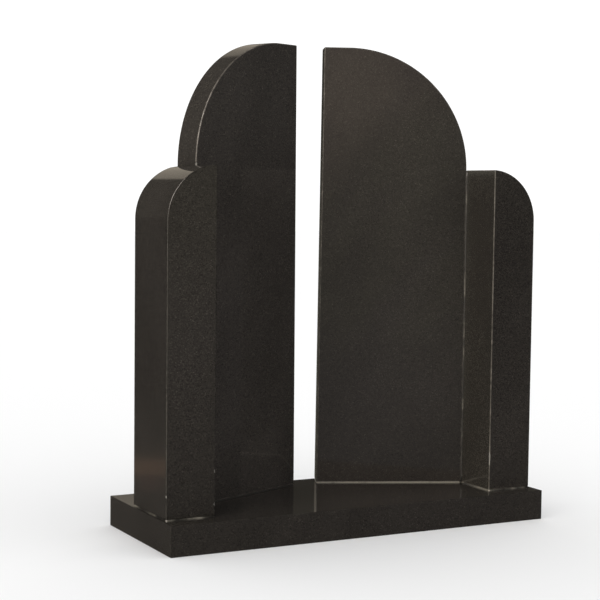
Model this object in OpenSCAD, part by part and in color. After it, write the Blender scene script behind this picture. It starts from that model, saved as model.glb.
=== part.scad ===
// A double memorial in polished granite. A plain base carries two tall wings,
// set in plan like an open book with a gap between them, and a square pillar at each end.
// Each upright stone stands on a thin bed of pale setting compound.
// The underside of the base is centred on the origin, and the front faces -Y.

/* [Base] */
// Length of the base, from end to end
base_length = 1200; // [1160:10:1500]
// Height of the base
base_height = 86; // [50:1:160]
// Bare strip of the base in front of the pillars
front_margin = 56; // [10:1:150]
// Bare strip of the base behind the wings' inner ends
back_margin = 3; // [0:1:100]
// Bare strip of the base outside each pillar
end_margin = 9; // [0:1:40]

/* [Wings] */
// Height of a wing above the base
wing_height = 1314; // [1000:1:1600]
// Thickness of a wing
wing_thickness = 72; // [50:1:100]
// Radius of a wing's round shoulder
wing_round = 360; // [100:5:420]
// How far each wing is turned towards the front, in degrees
wing_angle = 23.5; // [5:0.5:35]
// Gap between the wings at the base
gap_bottom = 76; // [20:1:140]
// Gap between the wings at the top
gap_top = 92; // [20:1:160]

/* [Pillars] */
// Width of a pillar across its front
pillar_width = 144; // [100:1:180]
// Depth of a pillar, front to back
pillar_depth = 234; // [150:1:300]
// Height of a pillar above the base
pillar_height = 953; // [500:1:990]
// Radius of a pillar's round shoulder, which may be more than its width
pillar_round = 150; // [20:1:200]

/* [Joints] */
// How far in front of a pillar's back the face of the wing meets it
wing_seat = 86; // [40:1:120]
// Open joint between a wing's end and its pillar
joint = 2; // [0.5:0.5:6]
// Thickness of the setting compound under each upright stone
bed = 3; // [1:0.5:8]

/* [Hidden] */
$fn = 180;
over = 1; // how far a cutter runs past what it cuts

// The wing reaches from the gap to the pillar, and its face ends one joint short of it.
pillar_inner = base_length / 2 - end_margin - pillar_width;
wing_length = (pillar_inner - joint - gap_bottom / 2) / cos(wing_angle);
inner_batter = (gap_top - gap_bottom) / 2 / cos(wing_angle);

// The base is as deep as the stones on it and the two margins.
base_depth = front_margin + pillar_depth - wing_seat + wing_length * sin(wing_angle)
    + wing_thickness * cos(wing_angle) + back_margin;
pillar_front = front_margin - base_depth / 2;
pillar_back = pillar_front + pillar_depth;
wing_inner_front = pillar_back - wing_seat + wing_length * sin(wing_angle);

granite = [0.13, 0.12, 0.105];
granite_wing = [0.17, 0.155, 0.135];
granite_pillar = [0.15, 0.145, 0.125];
compound = [0.72, 0.66, 0.52];

// What is sawn off a block, across wide and tall, to leave a round shoulder on its outer corner.
// A radius of more than the width keeps the height at the inner corner.
module shoulder_waste(across, tall, deep, radius) {
    past = max(0, radius - across);
    centre_up = tall - sqrt(radius * radius - past * past);
    translate([across - radius, -over, centre_up])
        difference() {
            cube([radius + over, deep + 2 * over, radius + over]);
            translate([0, -over, 0])
                rotate([-90, 0, 0])
                    cylinder(r = radius, h = deep + 4 * over);
        }
}

// Carries its children to the right wing's own place: +X along its face, +Y into its thickness.
module at_right_wing() {
    translate([gap_bottom / 2, wing_inner_front, base_height])
        rotate([0, 0, -wing_angle])
            children();
}

// The right wing with its bed. Its inner end is square to its face and leans away from the gap.
module wing_block() {
    top_length = wing_length - inner_batter;
    at_right_wing()
        difference() {
            translate([0, wing_thickness, 0])
                rotate([90, 0, 0])
                    linear_extrude(wing_thickness)
                        polygon([
                            [0, 0],
                            [wing_length, 0],
                            [wing_length, wing_height],
                            [inner_batter, wing_height]
                        ]);
            shoulder_waste(wing_length, wing_height, wing_thickness, min(wing_round, top_length));
        }
}

// The right pillar with its bed. The back of its inner side is splayed to take the wing's end.
module pillar_block() {
    difference() {
        translate([pillar_inner, pillar_front, base_height])
            difference() {
                cube([pillar_width, pillar_depth, pillar_height]);
                shoulder_waste(pillar_width, pillar_height, pillar_depth, pillar_round);
            }
        at_right_wing()
            translate([wing_length + joint - pillar_width, -over, -over])
                cube([pillar_width, pillar_depth, pillar_height + 2 * over]);
    }
}

// The layer on top of the base that the setting compound fills.
module bed_layer() {
    translate([-base_length / 2, -base_depth / 2, base_height - over])
        cube([base_length, base_depth, bed + over]);
}

// An upright stone is its block above the bed layer.
module stone(tint) {
    color(tint)
        difference() {
            children();
            bed_layer();
        }
}

// A bed is what its stone's block leaves in the bed layer.
module bed_under() {
    color(compound)
        intersection() {
            children();
            bed_layer();
        }
}

module base() {
    color(granite)
        translate([-base_length / 2, -base_depth / 2, 0])
            cube([base_length, base_depth, base_height]);
}

module right_wing() {
    stone(granite_wing) wing_block();
}

module left_wing() {
    mirror([1, 0, 0])
        right_wing();
}

module right_pillar() {
    stone(granite_pillar) pillar_block();
}

module left_pillar() {
    mirror([1, 0, 0])
        right_pillar();
}

module right_wing_bed() {
    bed_under() wing_block();
}

module left_wing_bed() {
    mirror([1, 0, 0])
        right_wing_bed();
}

module right_pillar_bed() {
    bed_under() pillar_block();
}

module left_pillar_bed() {
    mirror([1, 0, 0])
        right_pillar_bed();
}

base();
left_wing_bed();
right_wing_bed();
left_pillar_bed();
right_pillar_bed();
left_wing();
right_wing();
left_pillar();
right_pillar();
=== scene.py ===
import math
import random

import bmesh
import bpy
from mathutils import Matrix, Vector


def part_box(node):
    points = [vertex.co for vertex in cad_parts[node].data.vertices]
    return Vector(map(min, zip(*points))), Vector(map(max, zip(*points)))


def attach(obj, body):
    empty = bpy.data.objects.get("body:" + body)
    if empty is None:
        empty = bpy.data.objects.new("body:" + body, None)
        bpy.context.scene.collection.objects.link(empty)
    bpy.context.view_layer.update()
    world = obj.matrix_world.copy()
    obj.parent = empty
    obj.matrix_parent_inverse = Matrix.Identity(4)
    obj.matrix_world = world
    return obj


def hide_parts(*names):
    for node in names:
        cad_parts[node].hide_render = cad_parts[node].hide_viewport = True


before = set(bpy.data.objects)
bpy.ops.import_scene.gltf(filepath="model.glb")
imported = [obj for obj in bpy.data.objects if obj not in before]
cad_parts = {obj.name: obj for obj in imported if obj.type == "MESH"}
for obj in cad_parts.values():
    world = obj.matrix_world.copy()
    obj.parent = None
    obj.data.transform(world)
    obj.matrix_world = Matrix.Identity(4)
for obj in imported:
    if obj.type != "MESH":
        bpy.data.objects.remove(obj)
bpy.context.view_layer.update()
print("frame loaded:", ", ".join(sorted(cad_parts)))

# Lengths are metres and angles degrees. +X is the right of the memorial, +Y its back, +Z up.
# A bearing turns clockwise seen from above, from 0 at the back through 90 at the right.


# Small helpers for the shader trees

def newTree(name):
    made = bpy.data.materials.new(name)
    made.use_nodes = True
    made.node_tree.nodes.clear()
    return made, made.node_tree


def node(tree, kind, sockets=None, **fields):
    # sockets holds a value or another node's output for each input, by its name or number
    made = tree.nodes.new(kind)
    for key, value in fields.items():
        setattr(made, key, value)
    for key, value in (sockets or {}).items():
        if isinstance(value, bpy.types.NodeSocket):
            tree.links.new(value, made.inputs[key])
        elif value is not None:
            made.inputs[key].default_value = value
    return made


def maths(tree, operation, first, second=None):
    return node(tree, "ShaderNodeMath", {0: first, 1: second}, operation=operation).outputs[0]


def ramp(tree, value, low, high, atLow=0.0, atHigh=1.0, smooth=True):
    made = node(
        tree, "ShaderNodeMapRange",
        {"Value": value, "From Min": low, "From Max": high, "To Min": atLow, "To Max": atHigh},
        interpolation_type="SMOOTHSTEP" if smooth else "LINEAR")
    return made.outputs["Result"]


def blendColour(tree, amount, first, second, mode="MIX"):
    # a plain colour is given as its red, green and blue
    sides = [(*side, 1) if isinstance(side, tuple) else side for side in (first, second)]
    made = node(
        tree, "ShaderNodeMix", {0: amount, 6: sides[0], 7: sides[1]}, data_type="RGBA", blend_type=mode)
    return made.outputs[2]


def scaleColour(tree, colour, strength):
    grey = node(tree, "ShaderNodeCombineColor", {0: strength, 1: strength, 2: strength})
    return blendColour(tree, 1.0, colour, grey.outputs[0], mode="MULTIPLY")


def noise(tree, place, pattern):
    # a pattern gives the width of one patch, its detail, and how far it is drawn out and turned
    if "stretch" in pattern:
        turn = [math.radians(angle) for angle in pattern["turn"]]
        mapping = node(
            tree, "ShaderNodeMapping", {"Vector": place, "Rotation": turn, "Scale": pattern["stretch"]},
            vector_type="TEXTURE")
        place = mapping.outputs["Vector"]
    made = node(
        tree, "ShaderNodeTexNoise",
        {"Vector": place, "Scale": 1 / pattern["size"], "Detail": pattern["detail"],
         "Roughness": pattern["rough"]})
    return made.outputs["Fac"]


def patchy(tree, value, pattern, between, smooth=True):
    # goes between two values as the pattern's noise goes over its span
    return ramp(tree, value, *pattern["span"], *between, smooth=smooth)


def crystals(tree, place, size, seed):
    # one random value a crystal, and the seed moves them all
    moved = [seed * part for part in granite["seedMove"]]
    shifted = node(tree, "ShaderNodeVectorMath", {0: place, 1: moved}, operation="ADD")
    cells = node(
        tree, "ShaderNodeTexVoronoi", {"Vector": shifted.outputs[0], "Scale": 1 / size, "Randomness": 1.0})
    return node(tree, "ShaderNodeSeparateColor", {0: cells.outputs["Color"]}).outputs[0]


def startMaterial(name):
    made, tree = newTree(name)
    return made, tree, node(tree, "ShaderNodeTexCoord").outputs["Object"]


def endMaterial(tree, colour, rough, height, relief):
    # relief is the bump's strength and its depth
    bump = node(tree, "ShaderNodeBump", {"Strength": relief[0], "Distance": relief[1], "Height": height})
    shader = node(
        tree, "ShaderNodeBsdfPrincipled",
        {"Base Color": colour, "Roughness": rough, "IOR": 1.5, "Normal": bump.outputs[0]})
    node(tree, "ShaderNodeOutputMaterial", {"Surface": shader.outputs[0]})


# The granite

granite = {
    "ground": (0.0205, 0.0180, 0.0161),   # the fine dark body of the stone
    "pale": (0.0305, 0.0270, 0.0230),     # its paler crystals
    "whollyPale": 0.55,                   # share of the pale crystals that are wholly so
    "dark": (0.0150, 0.0133, 0.0120),     # its blackest crystals
    "darkPick": (0.30, 0.12),             # crystals picked under these are partly or wholly black
    "fleck": (0.065, 0.058, 0.049),       # scattered bright flecks
    "fleckPick": (0.985, 0.99),           # and those picked over these are flecks
    "crystal": 0.0024,
    "fleckSize": 0.0016,
    "seedMove": (1, 0.37, 0.71),          # where one step of the seed moves the crystals
    "fleckSeed": 3,                       # how many steps of it the flecks are from the crystals
    "grain": {"size": 0.0011, "detail": 3.0, "rough": 0.6, "span": (0.3, 0.7)},
    "grainShade": (0.82, 1.18),
    "cloud": {
        "size": 0.35, "detail": 3.0, "rough": 0.55, "stretch": (1, 1, 2.2), "turn": (0, 32, 0),
        "span": (0.3, 0.7)},
    "cloudShade": (0.86, 1.16),
    "handled": {"size": 0.09, "detail": 4.0, "rough": 0.6, "span": (0.3, 0.75)},
    "polish": (0.044, 0.07425),           # roughness of the polished faces, at best and where handled
    "pits": (0.035, 0.0002),              # relief of the crystals in a polished face
}


def polishedGranite(name, paleShare, seed, tint=(1, 1, 1)):
    made, tree, place = startMaterial(name)
    pick = crystals(tree, place, granite["crystal"], seed)
    dark = ramp(tree, pick, *granite["darkPick"])
    colour = blendColour(tree, dark, granite["ground"], granite["dark"])
    pale = ramp(tree, pick, 1 - paleShare, 1 - paleShare * granite["whollyPale"])
    colour = blendColour(tree, pale, colour, granite["pale"])
    fleckPick = crystals(tree, place, granite["fleckSize"], seed + granite["fleckSeed"])
    fleck = ramp(tree, fleckPick, *granite["fleckPick"])
    colour = blendColour(tree, fleck, colour, granite["fleck"])
    grain = noise(tree, place, granite["grain"])
    grain = patchy(tree, grain, granite["grain"], granite["grainShade"], smooth=False)
    clouds = noise(tree, place, granite["cloud"])
    clouds = patchy(tree, clouds, granite["cloud"], granite["cloudShade"])
    colour = scaleColour(tree, colour, maths(tree, "MULTIPLY", grain, clouds))
    # the colour is multiplied by the piece's tint, which is painted light; only the left wing is made
    # brighter by it
    colour = blendColour(tree, 1.0, colour, tint, mode="MULTIPLY")
    handled = noise(tree, place, granite["handled"])
    rough = patchy(tree, handled, granite["handled"], granite["polish"])
    endMaterial(tree, colour, rough, pick, granite["pits"])
    return made


# the arrises are rubbed by hand, so they are paler and less even than the faces, and each piece's arrises
# are further lightened or darkened as a painted highlight
rubbed = {
    "ground": (0.034, 0.030, 0.026),
    "wear": {"size": 0.012, "detail": 4.0, "rough": 0.65, "span": (0.3, 0.75)},    # the rubbing marks
    "wearShade": (0.55, 1.6),
    "spots": {"size": 0.05, "detail": 2.0, "rough": 0.5, "span": (0.35, 0.7)},     # more or less rubbed
    "spotsShade": (0.7, 1.3),
    "polish": (0.16, 0.26),
    "relief": (0.3, 0.0003),
}


def easedGranite(name, strength):
    made, tree, place = startMaterial(name)
    wear = noise(tree, place, rubbed["wear"])
    spots = noise(tree, place, rubbed["spots"])
    spots = patchy(tree, spots, rubbed["spots"], rubbed["spotsShade"])
    shade = maths(tree, "MULTIPLY", patchy(tree, wear, rubbed["wear"], rubbed["wearShade"]), spots)
    # the strength lightens or darkens this piece's arrises: a painted highlight on top of their rubbed
    # paleness
    shade = maths(tree, "MULTIPLY", shade, strength)
    colour = scaleColour(tree, rubbed["ground"], shade)
    rough = patchy(tree, wear, rubbed["wear"], rubbed["polish"])
    endMaterial(tree, colour, rough, wear, rubbed["relief"])
    return made


# the crushed, unpolished stone inside a chip
broken = {
    "crushed": (0.10, 0.092, 0.082),
    "bruise": (0.25, 0.238, 0.217),
    "crumbs": {"size": 0.0009, "detail": 3.0, "rough": 0.7, "span": (0.35, 0.65)},
    "rough": 0.65,
    "relief": (0.6, 0.0004),
}


def brokenGranite(name):
    made, tree, place = startMaterial(name)
    crumbs = noise(tree, place, broken["crumbs"])
    bruised = patchy(tree, crumbs, broken["crumbs"], (0, 1))
    colour = blendColour(tree, bruised, broken["crushed"], broken["bruise"])
    endMaterial(tree, colour, broken["rough"], crumbs, broken["relief"])
    return made


def stoneFinish(name, finish):
    # the polished faces, the arrises and the chips, in the order of the mesh's material slots
    polished = polishedGranite(name + "Granite", finish["paleShare"], finish["seed"], finish["tint"])
    arris = easedGranite(name + "Arris", finish["arrisPaintedHighlight"])
    return [polished, arris, brokenGranite(name + "Chip")]


# Stone cutting

cutting = {
    "arris": 0.0028,       # width of the eased arrises of the upright stones
    "baseArris": 0.0010,   # the base's arrises are only just taken off
    "arrisSteps": 4,
    "sharp": 20,           # corners sharper than this are eased
    "roundSteps": 72,      # flats in a round shoulder, which are too fine to see
    "slivers": 0.0020,     # shorter edges than this are closed up before the arrises are eased
    "weld": 1e-5,          # points closer than this are one
    "flat": 2,             # turns smaller than this are no corner
    "flakeSeed": 7,
    "flakeSteps": 3,
    "flakeRough": (0.82, 1.12),   # how far a flake's surface goes in and out
}


def arc(centreAcross, centreUp, radius, fromDegrees, toDegrees, steps):
    turns = [math.radians(fromDegrees + (toDegrees - fromDegrees) * i / steps) for i in range(steps + 1)]
    return [(centreAcross + radius * math.cos(t), centreUp + radius * math.sin(t)) for t in turns]


def sawBlock(outline, deep):
    # outline is (across, up) points seen from the front, and the block goes back from depth 0 to deep
    bm = bmesh.new()
    front = [bm.verts.new((across, 0, up)) for across, up in outline]
    back = [bm.verts.new((across, deep, up)) for across, up in outline]
    bm.faces.new(front)
    bm.faces.new(reversed(back))
    for i in range(len(outline)):
        j = (i + 1) % len(outline)
        bm.faces.new((front[j], front[i], back[i], back[j]))
    bmesh.ops.recalc_face_normals(bm, faces=bm.faces)
    return bm


def easeArrises(bm, width):
    limit = math.radians(cutting["sharp"])
    sharp = [edge for edge in bm.edges if len(edge.link_faces) == 2 and edge.calc_face_angle() > limit]
    made = bmesh.ops.bevel(
        bm, geom=sharp, offset=width, offset_type="OFFSET", segments=cutting["arrisSteps"], profile=0.5,
        affect="EDGES", clamp_overlap=True, material=1)
    for face in made["faces"]:
        face.material_index = 1


def pieceFrom(name, bm, materials):
    mesh = bpy.data.meshes.new(name)
    bm.to_mesh(mesh)
    bm.free()
    for material in materials:
        mesh.materials.append(material)
    piece = bpy.data.objects.new(name, mesh)
    bpy.context.scene.collection.objects.link(piece)
    return piece


def knockChips(piece, spots):
    # each spot is (place, radii): a rough hollow where a flake came off the arris
    rng = random.Random(cutting["flakeSeed"])
    bm = bmesh.new()
    for place, radii in spots:
        shape = Matrix.Translation(place) @ Matrix.Diagonal((*radii, 1))
        made = bmesh.ops.create_icosphere(
            bm, subdivisions=cutting["flakeSteps"], radius=1, matrix=shape)
        for vert in made["verts"]:
            vert.co = Vector(place) + (vert.co - Vector(place)) * rng.uniform(*cutting["flakeRough"])
    for face in bm.faces:
        face.material_index = 2
    flakes = pieceFrom("chips", bm, [])
    cut = piece.modifiers.new("chips", "BOOLEAN")
    cut.operation = "DIFFERENCE"
    cut.solver = "EXACT"
    cut.object = flakes
    whole = piece.evaluated_get(bpy.context.evaluated_depsgraph_get())
    piece.data = bpy.data.meshes.new_from_object(whole)
    piece.data.name = piece.name
    piece.modifiers.remove(cut)
    bpy.data.objects.remove(flakes)


def stonePiece(name, bm, placing, materials, spots=()):
    bm.transform(placing)
    if placing.determinant() < 0:
        bmesh.ops.reverse_faces(bm, faces=bm.faces)
    for face in bm.faces:
        face.smooth = True
    piece = pieceFrom(name, bm, materials)
    if spots:
        knockChips(piece, spots)
    flats = piece.modifiers.new("trueFaces", "WEIGHTED_NORMAL")
    flats.keep_sharp = True
    flats.weight = 100
    return piece


def setInPlace(piece, cadNode):
    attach(piece, "root")
    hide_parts(cadNode)


# The base

base = {"seed": 1.0, "paleShare": 0.12, "arrisPaintedHighlight": 0.6}
baseLow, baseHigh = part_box("base")


def buildBase():
    size = baseHigh - baseLow
    bm = sawBlock([(0, 0), (size.x, 0), (size.x, size.z), (0, size.z)], size.y)
    easeArrises(bm, cutting["baseArris"])
    materials = [
        polishedGranite("baseGranite", base["paleShare"], base["seed"]),
        easedGranite("baseArris", base["arrisPaintedHighlight"])]
    piece = stonePiece("baseStone", bm, Matrix.Translation(baseLow), materials)
    setInPlace(piece, "base")


# The wings

wing = {
    "turn": 23.5,          # how far each wing is turned to the front
    "shoulder": 0.360,     # radius of the round shoulder
    "batter": 0.00872,     # how far the inner end leans away from the gap at the top
    "rightWing": {"seed": 2.0, "paleShare": 0.22, "tint": (1, 1, 1), "arrisPaintedHighlight": 1.8, "chips": ()},
    "leftWing": {
        # the left wing's tint is painted light, which brightens its whole colour
        "seed": 3.0, "paleShare": 0.12, "tint": (1.22, 1.22, 1.22), "arrisPaintedHighlight": 2.4,
        "chips": (         # small flakes off the arrises: place and radii
            ((-0.4450, -0.0210, 1.0430), (0.0040, 0.0040, 0.0050)),
            ((-0.4432, -0.0215, 1.1060), (0.0032, 0.0032, 0.0120)),
        ),
    },
}
rightLow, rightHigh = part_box("right_wing")
cosTurn = math.cos(math.radians(wing["turn"]))
sinTurn = math.sin(math.radians(wing["turn"]))
wingSpan = rightHigh - rightLow
wingLong = (wingSpan.x * cosTurn - wingSpan.y * sinTurn) / (cosTurn ** 2 - sinTurn ** 2)
wingThick = (wingSpan.y * cosTurn - wingSpan.x * sinTurn) / (cosTurn ** 2 - sinTurn ** 2)
alongWing = Vector((cosTurn, -sinTurn, 0))
# +X along the wing's face and +Y into its thickness, from the foot of its inner end
wingFoot = Matrix.Translation((rightLow.x, rightLow.y + wingLong * sinTurn, rightLow.z))
atRightWing = wingFoot @ Matrix.Rotation(math.radians(-wing["turn"]), 4, "Z")
mirrored = Matrix.Diagonal((-1, 1, 1, 1))


def buildWing(name, cadNode, placing):
    tall, radius = wingSpan.z, wing["shoulder"]
    outline = [(0, 0), (wingLong, 0)]
    outline += arc(wingLong - radius, tall - radius, radius, 0, 90, cutting["roundSteps"])
    outline += [(wing["batter"], tall)]
    bm = sawBlock(outline, wingThick)
    easeArrises(bm, cutting["arris"])
    finish = wing[name]
    piece = stonePiece(name, bm, placing, stoneFinish(name, finish), finish["chips"])
    setInPlace(piece, cadNode)


# The pillars

pillar = {
    "shoulder": 0.150,     # radius of the round shoulder, a little more than the width
    "joint": 0.002,        # open joint between the wing's end and the splay
    "rightPillar": {
        "seed": 4.0, "paleShare": 0.26, "tint": (1, 1, 1), "arrisPaintedHighlight": 1.7,
        "chips": (
            ((0.4465, -0.1695, 0.1830), (0.0036, 0.0036, 0.0300)),
        ),
    },
    "leftPillar": {
        "seed": 5.0, "paleShare": 0.26, "tint": (1, 1, 1), "arrisPaintedHighlight": 0.65,
        "chips": (
            ((-0.4470, -0.1690, 0.2121), (0.0042, 0.0042, 0.0055)),
            ((-0.4470, -0.1690, 0.1218), (0.0042, 0.0042, 0.0055)),
            ((-0.5912, -0.1692, 0.1527), (0.0030, 0.0030, 0.0042)),
        ),
    },
}
pillarLow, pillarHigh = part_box("right_pillar")


def buildPillar(name, cadNode, placing):
    size = pillarHigh - pillarLow
    radius = pillar["shoulder"]
    past = radius - size.x
    centreUp = size.z - math.sqrt(radius ** 2 - past ** 2)
    startTurn = math.degrees(math.acos(past / radius))
    outline = [(0, 0), (size.x, 0)]
    outline += arc(size.x - radius, centreUp, radius, 0, startTurn, cutting["roundSteps"] // 2)
    bm = sawBlock(outline, size.y)
    bm.transform(Matrix.Translation(pillarLow))
    # the splay is parallel to the wing's end, one joint away from it
    onSplay = atRightWing.translation + alongWing * (wingLong + pillar["joint"])
    cut = bmesh.ops.bisect_plane(
        bm, geom=bm.verts[:] + bm.edges[:] + bm.faces[:], plane_co=onSplay, plane_no=alongWing,
        clear_inner=True)
    rim = [edge for edge in cut["geom_cut"] if isinstance(edge, bmesh.types.BMEdge)]
    bmesh.ops.contextual_create(bm, geom=rim)
    bmesh.ops.dissolve_degenerate(bm, dist=cutting["slivers"], edges=bm.edges)
    bmesh.ops.recalc_face_normals(bm, faces=bm.faces)
    easeArrises(bm, cutting["arris"])
    finish = pillar[name]
    piece = stonePiece(name, bm, placing, stoneFinish(name, finish), finish["chips"])
    setInPlace(piece, cadNode)


# The setting compound

compound = {
    "paste": (0.210, 0.192, 0.158),
    "sand": {"size": 0.0012, "detail": 3.0, "rough": 0.7, "span": (0.3, 0.7)},
    "sandShade": (0.75, 1.2),
    "sheen": (0.238, 0.392),   # roughness of its skin, which was smoothed with a wet finger
    "relief": (0.3, 0.0004),
    # the dark patches on the compound are partly dirt and partly painted shade
    "dirtAndShade": (0.011, 0.010, 0.009),
    "darkPatch": {"size": 0.06, "detail": 4.0, "rough": 0.6},
    "darkPatchStep": 0.001,        # how much wider the dark patches are for each step of the seed
    "darkPatchEdge": 0.15,         # how softly they end
}


def settingCompound(name, dirtAndShadeShare, seed):
    made, tree, place = startMaterial(name)
    sand = noise(tree, place, compound["sand"])
    darkPatchSize = compound["darkPatch"]["size"] + compound["darkPatchStep"] * seed
    darkPatch = noise(tree, place, dict(compound["darkPatch"], size=darkPatchSize))
    # where the dark patches fall, partly dirt and partly painted shade
    dirtyAndShaded = ramp(tree, darkPatch, dirtAndShadeShare + compound["darkPatchEdge"], dirtAndShadeShare - compound["darkPatchEdge"])
    colour = blendColour(tree, dirtyAndShaded, compound["paste"], compound["dirtAndShade"])
    shade = patchy(tree, sand, compound["sand"], compound["sandShade"], smooth=False)
    rough = patchy(tree, sand, compound["sand"], compound["sheen"])
    endMaterial(tree, scaleColour(tree, colour, shade), rough, sand, compound["relief"])
    return made


bead = {
    "foot": 0.0012,        # how far the fillet of compound reaches out over the base
    "tuck": 0.0008,        # how far its top is tucked in under the stone's arris
    "up": 0.0040,          # its height above the base
    "topIn": 1.05,         # how far in its hidden top is, in widths of the stone's arris
    "steps": 5,
    "step": 0.008,         # length of one stretch of the bead
    "uneven": 0.22,        # how much it swells and thins, in two waves along its stretches
    "waves": (1.7, 0.61),
    "corner": 20,          # turns sharper than this are corners
    "wiped": 0.0016,       # how far in the bead is wiped at the stone's corners
    "beds": {              # each stone's bed, with its share of dirt and painted shade and its seed
        "rightWingBed": ("right_wing_bed", 0.35, 1),
        # the left wing's bed is dark all along: painted shade at the wing's foot
        "leftWingBed": ("left_wing_bed", 1.2, 2),
        "rightPillarBed": ("right_pillar_bed", 0.56, 8),
        "leftPillarBed": ("left_pillar_bed", 0.57, 4),
    },
}


def outlineOf(cadNode):
    # the corners of a bed's underside, in order round it
    bm = bmesh.new()
    bm.from_mesh(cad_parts[cadNode].data)
    bmesh.ops.remove_doubles(bm, verts=bm.verts, dist=cutting["weld"])
    bmesh.ops.dissolve_limit(
        bm, angle_limit=math.radians(cutting["flat"]), verts=bm.verts, edges=bm.edges)
    low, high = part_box(cadNode)
    middle = (low + high) / 2
    under = [vert.co.copy() for vert in bm.verts if vert.co.z < middle.z]
    bm.free()
    return sorted(under, key=lambda corner: math.atan2(corner.y - middle.y, corner.x - middle.x))


def compoundPiece(name, bm, dirtAndShadeShare, seed):
    bmesh.ops.recalc_face_normals(bm, faces=bm.faces)
    for face in bm.faces:
        face.smooth = len(face.verts) == 4
    return pieceFrom(name, bm, [settingCompound(name + "Compound", dirtAndShadeShare, seed)])


def skin(bm, rows):
    # closes a tube of rows of points, with a face at each end
    for lower, upper in zip(rows, rows[1:]):
        for i in range(len(lower)):
            j = (i + 1) % len(lower)
            bm.faces.new((lower[i], lower[j], upper[j], upper[i]))
    bm.faces.new(list(reversed(rows[0])))
    bm.faces.new(rows[-1])


def buildBed(name, cadNode, dirtAndShadeShare, seed):
    # the bed itself, with a small hollow fillet where the compound was pointed off round the stone
    low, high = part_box(cadNode)
    path = outlineOf(cadNode)
    loop = []
    for here, there in zip(path, path[1:] + path[:1]):
        count = max(2, round((there - here).length / bead["step"]))
        loop += [here.lerp(there, i / count) for i in range(count)]
    profile = []
    for i in range(bead["steps"] + 1):
        turn = math.radians(90 * i / bead["steps"])
        out = bead["foot"] - (bead["foot"] + bead["tuck"]) * math.sin(turn)
        profile.append((out, bead["up"] * (1 - math.cos(turn))))
    profile.append((-cutting["arris"] * bead["topIn"], high.z - low.z))
    shortWave, longWave = bead["waves"]
    bm = bmesh.new()
    rows = []
    for out, up in profile:
        row = []
        for i, point in enumerate(loop):
            after, before = loop[(i + 1) % len(loop)], loop[i - 1]
            outward = (after - before).cross(Vector((0, 0, 1))).normalized()
            atCorner = (after - point).angle(point - before) > math.radians(bead["corner"])
            wiped = bead["wiped"] if atCorner else 0
            swell = bead["uneven"] * math.sin(i * shortWave + seed) * math.sin(i * longWave + seed * 2)
            uneven = 1 + swell if out > 0 else 1
            row.append(bm.verts.new(point + outward * (out * uneven - wiped) + Vector((0, 0, up))))
        rows.append(row)
    skin(bm, rows)
    piece = compoundPiece(name, bm, dirtAndShadeShare, seed)
    setInPlace(piece, cadNode)


pointing = {
    "radius": 0.0035,      # radius of the hollow fillet between a wing and its pillar
    "steps": 6,
    "step": 0.02,          # length of one stretch of the fillet
    "fromFoot": 0.0005,    # how far above the pillar's foot it starts
    "fromHead": 0.0012,    # and how far below its top it ends
    "tucked": ((0.001, 0.0004), (-0.0012, 0.0045)),   # its two hidden corners, behind the fillet
    "rightPointing": (0.65, 5),    # share of dirt and painted shade, and seed
    "leftPointing": (0.9, 6),
}


def buildPointing(name, placing):
    # the upright joint between a wing and its pillar, pointed with the same compound
    dirtAndShadeShare, seed = pointing[name]
    radius, steps = pointing["radius"], pointing["steps"]
    wingFace = Vector((-sinTurn, -cosTurn, 0))
    pillarFace = Vector((-1, 0, 0))
    wingCorner = atRightWing.translation + alongWing * wingLong
    corner = wingCorner + alongWing * ((pillarLow.x - wingCorner.x) / alongWing.x)
    centre = corner + (wingFace + pillarFace) * (radius / (1 + wingFace.dot(pillarFace)))
    section = [centre - wingFace.slerp(pillarFace, i / steps) * radius for i in range(steps + 1)]
    section += [corner + Vector((*spot, 0)) for spot in pointing["tucked"]]
    bottom, top = pillarLow.z + pointing["fromFoot"], pillarHigh.z - pointing["fromHead"]
    levels = round((top - bottom) / pointing["step"])
    bm = bmesh.new()
    rows = []
    for k in range(levels + 1):
        up = bottom + (top - bottom) * k / levels
        rows.append([bm.verts.new((point.x, point.y, up)) for point in section])
    skin(bm, rows)
    bm.transform(placing)
    piece = compoundPiece(name, bm, dirtAndShadeShare, seed)
    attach(piece, "root")


rightHand = Matrix.Identity(4)
buildBase()
print("base cut")
buildWing("rightWing", "right_wing", atRightWing)
buildWing("leftWing", "left_wing", mirrored @ atRightWing)
print("wings cut, each %.0f mm long and %.0f mm thick" % (wingLong * 1000, wingThick * 1000))
buildPillar("rightPillar", "right_pillar", rightHand)
buildPillar("leftPillar", "left_pillar", mirrored)
print("pillars cut")
for name, (cadNode, dirtAndShadeShare, seed) in bead["beds"].items():
    buildBed(name, cadNode, dirtAndShadeShare, seed)
buildPointing("rightPointing", rightHand)
buildPointing("leftPointing", mirrored)
print("beds and upright joints pointed")


# The floor and the light

studio = {
    "floor": (0.9, 0.9, 0.9),
    "floorWide": 60.0,
    "tent": 1.12,          # the even soft light that falls on everything
    "aim": (0, 0, 0.7),    # the lamps point here
    # the soft lamps to the left, which the polished faces don't mirror
    "key": {"place": (-4.7, -1.7, 3.2), "wide": 2.5, "power": 158.0, "colour": (1.0, 0.97, 0.84)},
    "fill": {"place": (-3.0, -0.1, 0.7), "wide": 1.5, "power": 52.0, "colour": (1.0, 0.97, 0.80)},
    # soft slanting streaks in some panels, in degrees of bearing and rise
    "streak": {
        "size": 0.62, "detail": 2.0, "rough": 0.45, "stretch": (1, 8, 1), "turn": (0, 0, 38),
        "span": (0.44, 0.56)},
}
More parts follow.
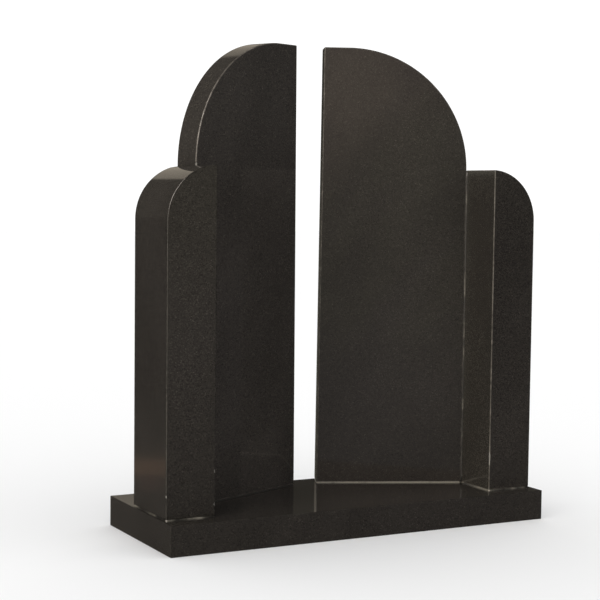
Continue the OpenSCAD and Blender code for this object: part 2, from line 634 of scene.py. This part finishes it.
# What the polished faces see round them: soft panels, each with its bearings, its rise above the
# level, the width of its soft edges, and its light. A slope tips the panel's lower and upper edge.
panels = {
    "groundLeft": {
        "bearing": (-200, -40), "rise": (-95, 0), "soft": (10, 6), "light": (0.075, 0.068, 0.055)},
    "groundBack": {
        "bearing": (-5, 90), "rise": (-95, 0), "soft": (10, 6), "light": (0.075, 0.068, 0.055)},
    "groundFront": {
        "bearing": (152, 200), "rise": (-95, 0), "soft": (8, 6), "light": (0.075, 0.068, 0.055)},
    "skyLeft": {
        "bearing": (-200, -90), "rise": (0, 95), "soft": (10, 6), "light": (0.090, 0.082, 0.062)},
    "skyBack": {
        "bearing": (-90, 95), "rise": (0, 95), "soft": (10, 6), "light": (0.045, 0.041, 0.033)},
    "skyFront": {
        "bearing": (125, 200), "rise": (0, 95), "soft": (10, 6), "light": (0.090, 0.082, 0.062)},
    "skyRight": {
        "bearing": (90, 125), "rise": (1, 40), "soft": (10, 4), "light": (0.05, 0.05, 0.045)},
    "frontLeft": {
        "bearing": (-146, -98), "rise": (0.8, 24), "soft": (10, 3), "light": (3.6, 3.2, 2.8)},
    "glow": {
        "bearing": (-140, -96), "rise": (20, 60), "soft": (10, 12), "light": (13.0, 11.8, 10.6)},
    "lawn": {
        "bearing": (-148, -118), "rise": (-13, 3), "soft": (10, 3), "light": (1.0, 0.96, 0.78)},
    "lawnSide": {
        "bearing": (-104, -90), "rise": (-14, 4), "soft": (3, 3), "light": (3.0, 2.9, 2.3)},
    "pathFar": {
        "bearing": (-150, -118), "rise": (-11.2, -9.4), "soft": (10, 0.8), "light": (2.0, 1.8, 1.5)},
    "facing": {
        "bearing": (-166.5, -152), "rise": (-15, 13.0), "soft": (8, 3), "light": (0.155, 0.135, 0.130)},
    "facingHedge": {
        "bearing": (-169, -152), "rise": (-4.5, 13.0), "soft": (9, 6), "streaks": 1.0,
        "light": (0.115, 0.115, 0.055)},
    "facingHaze": {
        "bearing": (-170, -152), "rise": (2.6, 13.0), "soft": (9, 4), "slope": (-163.5, 0.80),
        "streaks": 0.35, "light": (0.42, 0.30, 0.26)},
    "facingLow": {
        "bearing": (-170, -152), "rise": (-16, -4.5), "soft": (9, 5), "light": (0.075, 0.070, 0.068)},
    "groundRight": {
        "bearing": (92, 122), "rise": (-18, -2), "soft": (8, 6), "light": (0.060, 0.054, 0.052)},
    "verge": {
        "bearing": (-36, -8), "rise": (-18, -8), "soft": (6, 4), "light": (0.060, 0.054, 0.046)},
    "front": {
        "bearing": (150, 172), "rise": (-3, 40), "soft": (10, 6), "light": (0.05, 0.05, 0.015)},
    "backSky": {
        "bearing": (2, 25), "rise": (11.0, 38), "soft": (3, 4), "light": (0.42, 0.37, 0.30)},
    "path": {
        "bearing": (-28, -10), "rise": (-10.42, -9.86), "soft": (3, 0.2), "streaks": 0.35,
        "light": (0.30, 0.17, 0.10)},
    "pathEdge": {
        "bearing": (-22.4, -21.8), "rise": (-11.0, -10.42), "soft": (0.2, 0.2), "streaks": 0.3,
        "light": (0.11, 0.055, 0.045)},
}


def window(tree, value, low, high, soft):
    opens = ramp(tree, value, low - soft / 2, low + soft / 2)
    closes = ramp(tree, value, high - soft / 2, high + soft / 2, 1.0, 0.0)
    return maths(tree, "MULTIPLY", opens, closes)


def streaks(tree, bearing, rise, strength):
    both = node(tree, "ShaderNodeCombineXYZ", {0: bearing, 1: rise})
    slanting = noise(tree, both.outputs[0], studio["streak"])
    return patchy(tree, slanting, studio["streak"], (1 - strength, 1 + strength))


def panelLight(tree, panel, bearing, rise):
    level = rise
    if "slope" in panel:
        pivot, steep = panel["slope"]
        tipped = maths(tree, "MULTIPLY", maths(tree, "SUBTRACT", bearing, pivot), steep)
        level = maths(tree, "ADD", rise, tipped)
    across, upright = panel["soft"]
    share = maths(
        tree, "MULTIPLY", window(tree, bearing, *panel["bearing"], across),
        window(tree, level, *panel["rise"], upright))
    if "streaks" in panel:
        share = maths(tree, "MULTIPLY", share, streaks(tree, bearing, rise, panel["streaks"]))
    return blendColour(tree, share, (0, 0, 0), panel["light"])


def buildFloor():
    bpy.ops.mesh.primitive_plane_add(size=studio["floorWide"], location=(0, 0, baseLow.z))
    floor = bpy.context.object
    floor.name = "floor"
    made, tree = newTree("paleFloor")
    shader = node(tree, "ShaderNodeBsdfDiffuse", {"Color": (*studio["floor"], 1)})
    node(tree, "ShaderNodeOutputMaterial", {"Surface": shader.outputs[0]})
    floor.data.materials.append(made)
    floor.visible_glossy = False
    return floor


def hangLamp(name, made):
    lamp = bpy.data.lights.new(name, "AREA")
    lamp.size = made["wide"]
    lamp.energy = made["power"]
    lamp.color = made["colour"]
    hung = bpy.data.objects.new(name, lamp)
    bpy.context.scene.collection.objects.link(hung)
    hung.location = made["place"]
    hung.rotation_euler = (Vector(studio["aim"]) - Vector(made["place"])).to_track_quat("-Z", "Y").to_euler()
    hung.visible_glossy = False
    return hung


def hangLamps(floor):
    # the large lamp lights the stones and leaves the floor to the tent
    bare = bpy.data.collections.new("bareFloor")
    bare.objects.link(floor)
    bare.collection_objects[0].light_linking.link_state = "EXCLUDE"
    key = hangLamp("leftLamp", studio["key"])
    key.light_linking.receiver_collection = bare
    # a small lamp for the shaded inner side of the right pillar alone
    shaded = bpy.data.collections.new("shadedPillar")
    shaded.objects.link(bpy.data.objects["rightPillar"])
    fill = hangLamp("fillLamp", studio["fill"])
    fill.light_linking.receiver_collection = shaded
    fill.light_linking.blocker_collection = shaded


def buildSurroundings():
    # the stones mirror the panels, and everything else is lit by the tent
    world = bpy.data.worlds.new("studio")
    bpy.context.scene.world = world
    world.use_nodes = True
    tree = world.node_tree
    tree.nodes.clear()
    towards = node(tree, "ShaderNodeTexCoord").outputs["Generated"]
    east, north, up = node(tree, "ShaderNodeSeparateXYZ", {0: towards}).outputs
    toDegrees = 180 / math.pi
    bearing = maths(tree, "MULTIPLY", maths(tree, "ARCTAN2", east, north), toDegrees)
    rise = maths(tree, "MULTIPLY", maths(tree, "ARCSINE", up), toDegrees)
    total = None
    for panel in panels.values():
        lit = panelLight(tree, panel, bearing, rise)
        total = lit if total is None else blendColour(tree, 1.0, total, lit, mode="ADD")
    mirroredLight = node(tree, "ShaderNodeBackground", {"Color": total})
    tent = node(tree, "ShaderNodeBackground", {"Color": (1, 1, 1, 1), "Strength": studio["tent"]})
    isMirror = node(tree, "ShaderNodeLightPath").outputs["Is Glossy Ray"]
    mixed = node(tree, "ShaderNodeMixShader", {0: isMirror, 1: tent.outputs[0], 2: mirroredLight.outputs[0]})
    node(tree, "ShaderNodeOutputWorld", {"Surface": mixed.outputs[0]})


hangLamps(buildFloor())
buildSurroundings()
bpy.context.scene.view_settings.view_transform = "Standard"
print("studio lit")


# The camera

viewpoint = {
    "place": (-2.1762, -3.9592, 0.9688),
    "bearing": 27.60,
    "down": 3.99,
    "roll": 0.67,
    "lens": 93.18,         # millimetres, on a sensor this wide
    "sensor": 36.0,
}


def buildCamera():
    lens = bpy.data.cameras.new("viewCamera")
    lens.lens = viewpoint["lens"]
    lens.sensor_width = viewpoint["sensor"]
    camera = bpy.data.objects.new("viewCamera", lens)
    bpy.context.scene.collection.objects.link(camera)
    turned = Matrix.Rotation(math.radians(-viewpoint["bearing"]), 4, "Z")
    tipped = Matrix.Rotation(math.radians(90 - viewpoint["down"]), 4, "X")
    rolled = Matrix.Rotation(math.radians(viewpoint["roll"]), 4, "Z")
    camera.matrix_world = Matrix.Translation(viewpoint["place"]) @ turned @ tipped @ rolled
    bpy.context.scene.camera = camera


buildCamera()
print("camera set")
